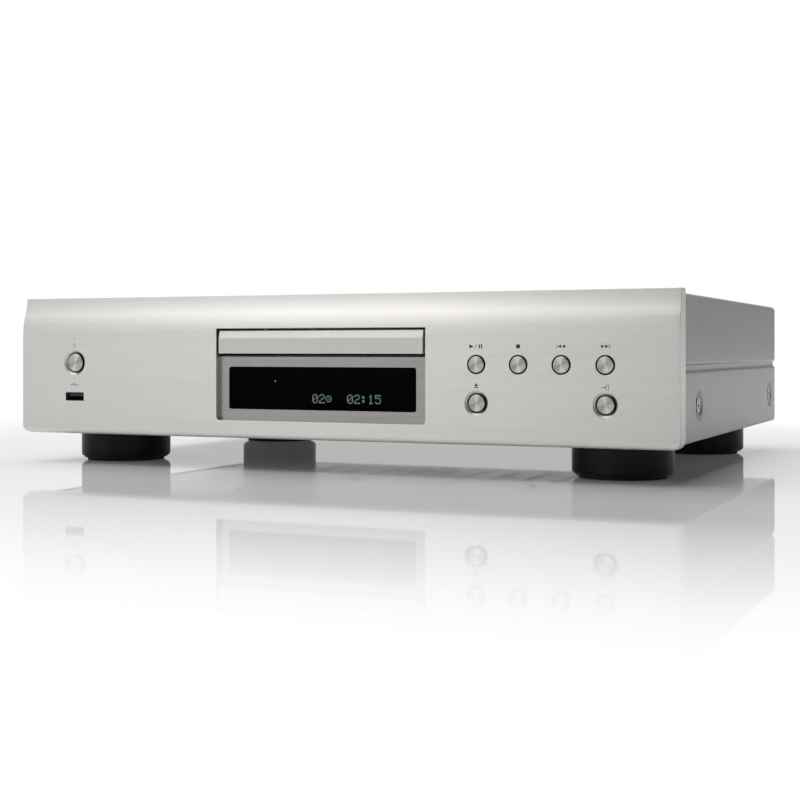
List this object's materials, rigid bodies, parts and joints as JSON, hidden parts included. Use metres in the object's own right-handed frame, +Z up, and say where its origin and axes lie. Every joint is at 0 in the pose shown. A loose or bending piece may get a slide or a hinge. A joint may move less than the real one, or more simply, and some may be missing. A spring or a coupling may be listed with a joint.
{
  "type": "cd player",
  "caption": "Full-width hi-fi disc player with a curved brushed front, sliding tray under the top edge, wide display window and round buttons.",
  "frame": {"origin": "on the standing surface, under the middle of the overall box", "axes": "+X to the right as seen from the front, +Y from the front panel to the rear, +Z up"},
  "size_m": [0.434, 0.328, 0.107],
  "materials": {
    "panel_aluminium": "horizontally brushed, clear anodised",
    "bezel_aluminium": "horizontally brushed, darker",
    "button_aluminium": "turned, fine rings",
    "silver_paint": "fine satin silver paint",
    "door_paint": "silver painted plastic",
    "zinc_steel": "zinc plated, satin",
    "steel_screw": "nickel plated",
    "black_plastic": "fine matt texture",
    "foot_plastic": "satin black",
    "pad_rubber": "matt",
    "window_plastic": "smoked, polished",
    "display_glass": "dark tube glass",
    "white_plastic": "natural acetal",
    "board_laminate": "green solder mask",
    "motor_can": "plated can",
    "brass_pinion": "cut brass",
    "gold_contact": "gold plated",
    "core_steel": "varnished laminations",
    "capacitor_sleeve": "shrink sleeve",
    "ribbon_plastic": "flat film",
    "belt_rubber": "smooth",
    "light_acrylic": "green tinted",
    "lens_acrylic": "coated"
  },
  "bodies": {
    "casing": {"front_panel": "panel_aluminium", "front_frame": "black_plastic", "display_bezel": "bezel_aluminium", "display_window": "window_plastic", "display_module": "display_glass", "tray_surround": "black_plastic", "top_cover": "silver_paint", "chassis_base": "zinc_steel", "rear_panel": "silver_paint", "foot_front_left": "foot_plastic", "foot_front_right": "foot_plastic", "foot_rear_left": "foot_plastic", "foot_rear_right": "foot_plastic", "foot_pads": "pad_rubber", "foot_screws": "steel_screw", "cover_screws": "steel_screw", "chassis_screws": "steel_screw", "mechanism_screws": "steel_screw", "tact_switches": "black_plastic", "front_board": "board_laminate", "power_key_board": "board_laminate", "power_light": "light_acrylic", "usb_socket": "zinc_steel", "loader_frame": "black_plastic", "loading_motor": "motor_can", "loading_belt": "belt_rubber", "clamp_bridge": "zinc_steel", "main_board": "board_laminate", "power_board": "board_laminate", "transformer": "core_steel", "filter_capacitors": "capacitor_sleeve", "ribbon_cables": "ribbon_plastic", "phono_jacks": "gold_contact", "jack_blocks": "black_plastic", "optical_socket": "black_plastic", "ac_inlet": "black_plastic"},
    "tray": {"disc_tray": "black_plastic", "tray_door": "door_paint"},
    "loading_gear_body": {"loading_gear": "white_plastic"},
    "pulley_gear_body": {"pulley_gear": "white_plastic"},
    "motor_pulley_body": {"loading_motor_pulley": "white_plastic"},
    "cam": {"cam_slider": "white_plastic"},
    "traverse": {"traverse_frame": "black_plastic", "guide_rods": "steel_screw", "spindle_motor": "motor_can", "sled_motor": "motor_can"},
    "spindle": {"turntable": "black_plastic"},
    "clamper": {"disc_clamper": "black_plastic"},
    "pickup": {"pickup_sled": "black_plastic"},
    "lens": {"pickup_lens": "lens_acrylic"},
    "sled_gear_body": {"sled_gear": "white_plastic"},
    "sled_pinion_body": {"sled_motor_pinion": "brass_pinion"},
    "shutter": {"optical_shutter": "black_plastic"},
    "power_key": {"power_button": "button_aluminium"},
    "play_key": {"play_button": "button_aluminium"},
    "stop_key": {"stop_button": "button_aluminium"},
    "previous_key": {"previous_button": "button_aluminium"},
    "next_key": {"next_button": "button_aluminium"},
    "eject_key": {"eject_button": "button_aluminium"},
    "source_key": {"source_button": "button_aluminium"}
  },
  "joints": [
    {"name": "tray_slide", "type": "slide", "parent": "casing", "child": "tray", "axis": [0, -1, 0], "range_m": [0, 0.148]},
    {"name": "loading_gear_turn", "type": "hinge", "parent": "casing", "child": "loading_gear_body", "pos_m": [-0.043, -0.127, 0.072], "axis": [0, 0, 1], "range_deg": [0, 606.3]},
    {"name": "pulley_gear_turn", "type": "hinge", "parent": "casing", "child": "pulley_gear_body", "pos_m": [-0.021, -0.127, 0.054], "axis": [0, 0, 1], "range_deg": [-1061.03, 0]},
    {"name": "loading_motor_turn", "type": "hinge", "parent": "casing", "child": "motor_pulley_body", "pos_m": [0.025, -0.127, 0.054], "axis": [0, 0, 1], "range_deg": [-3367.62, 0]},
    {"name": "traverse_lift", "type": "slide", "parent": "casing", "child": "traverse", "axis": [0, 0, 1], "range_m": [0, 0.0085]},
    {"name": "cam_slide", "type": "slide", "parent": "casing", "child": "cam", "axis": [1, 0, 0], "range_m": [0, 0.01473]},
    {"name": "spindle_turn", "type": "hinge", "parent": "traverse", "child": "spindle", "pos_m": [0, -0.0773, 0.068], "axis": [0, 0, 1], "continuous": true},
    {"name": "clamper_turn", "type": "hinge", "parent": "casing", "child": "clamper", "pos_m": [0, -0.0773, 0.084], "axis": [0, 0, 1], "continuous": true},
    {"name": "pickup_slide", "type": "slide", "parent": "traverse", "child": "pickup", "axis": [0, 1, 0], "range_m": [0, 0.034]},
    {"name": "sled_gear_turn", "type": "hinge", "parent": "traverse", "child": "sled_gear_body", "pos_m": [-0.0354, -0.03355, 0.058], "axis": [0, 0, 1], "range_deg": [0, 304.69]},
    {"name": "sled_motor_turn", "type": "hinge", "parent": "traverse", "child": "sled_pinion_body", "pos_m": [-0.0354, -0.01675, 0.057], "axis": [0, 0, 1], "range_deg": [-761.72, 0]},
    {"name": "lens_focus", "type": "slide", "parent": "pickup", "child": "lens", "axis": [0, 0, 1], "range_m": [-0.0008, 0.0008], "stiffness_N_per_m": 60},
    {"name": "power_press", "type": "slide", "parent": "casing", "child": "power_key", "axis": [0, 1, 0], "range_m": [0, 0.0008], "stiffness_N_per_m": 800},
    {"name": "play_press", "type": "slide", "parent": "casing", "child": "play_key", "axis": [0, 1, 0], "range_m": [0, 0.0008], "stiffness_N_per_m": 800},
    {"name": "stop_press", "type": "slide", "parent": "casing", "child": "stop_key", "axis": [0, 1, 0], "range_m": [0, 0.0008], "stiffness_N_per_m": 800},
    {"name": "previous_press", "type": "slide", "parent": "casing", "child": "previous_key", "axis": [0, 1, 0], "range_m": [0, 0.0008], "stiffness_N_per_m": 800},
    {"name": "next_press", "type": "slide", "parent": "casing", "child": "next_key", "axis": [0, 1, 0], "range_m": [0, 0.0008], "stiffness_N_per_m": 800},
    {"name": "eject_press", "type": "slide", "parent": "casing", "child": "eject_key", "axis": [0, 1, 0], "range_m": [0, 0.0008], "stiffness_N_per_m": 800},
    {"name": "source_press", "type": "slide", "parent": "casing", "child": "source_key", "axis": [0, 1, 0], "range_m": [0, 0.0008], "stiffness_N_per_m": 800},
    {"name": "shutter_swing", "type": "hinge", "parent": "casing", "child": "shutter", "pos_m": [0.088, 0.1551, 0.0616], "axis": [1, 0, 0], "range_deg": [-80, 0], "stiffness_Nm_per_rad": 0.002}
  ],
  "couplings": [
    {"joint": "loading_gear_turn", "follows": "tray_slide", "rad_per_m": 71.429},
    {"joint": "pulley_gear_turn", "follows": "tray_slide", "rad_per_m": -125},
    {"joint": "loading_motor_turn", "follows": "tray_slide", "rad_per_m": -396.74},
    {"joint": "cam_slide", "follows": "traverse_lift", "ratio": 1.7321},
    {"joint": "clamper_turn", "follows": "spindle_turn", "ratio": 1},
    {"joint": "sled_gear_turn", "follows": "pickup_slide", "rad_per_m": 156.25},
    {"joint": "sled_motor_turn", "follows": "pickup_slide", "rad_per_m": -390.62}
  ]
}
